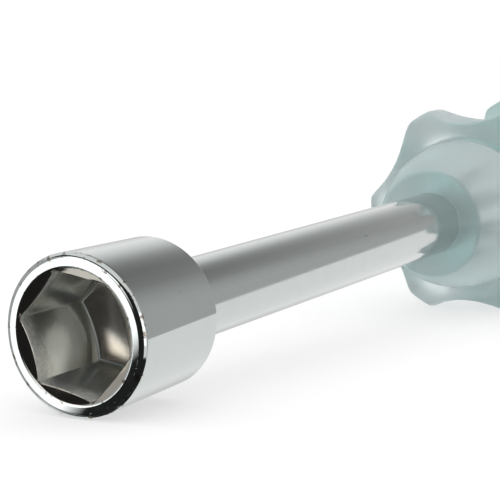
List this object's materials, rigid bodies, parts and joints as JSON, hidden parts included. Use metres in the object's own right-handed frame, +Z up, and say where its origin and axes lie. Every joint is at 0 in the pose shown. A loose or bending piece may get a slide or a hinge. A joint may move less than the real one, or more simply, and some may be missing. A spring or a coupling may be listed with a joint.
{
  "type": "nut driver",
  "caption": "Fixed-handle hex nut driver: a polished chrome socket head on a plain round shank, with a fluted clear acetate handle and a coloured butt cap.",
  "frame": {"origin": "centre of the hex socket's mouth, on the tool's axis", "axes": "+X along the axis from the socket to the butt, +Z up, with two of the grip's lobes pointing down as the tool lies on a bench"},
  "size_m": [0.204, 0.0376, 0.0344],
  "materials": {
    "socket_chrome": "polished chrome plate outside, duller thinly plated steel inside the hex",
    "shank_chrome": "polished chrome plate",
    "clear_acetate": "clear cellulose acetate with a faint blue-green tint, vapour polished",
    "cap_acetate": "green translucent acetate, polished"
  },
  "bodies": {
    "root": {"socket_head": "socket_chrome", "shank": "shank_chrome", "handle": "clear_acetate", "butt_cap": "cap_acetate"}
  },
  "joints": []
}
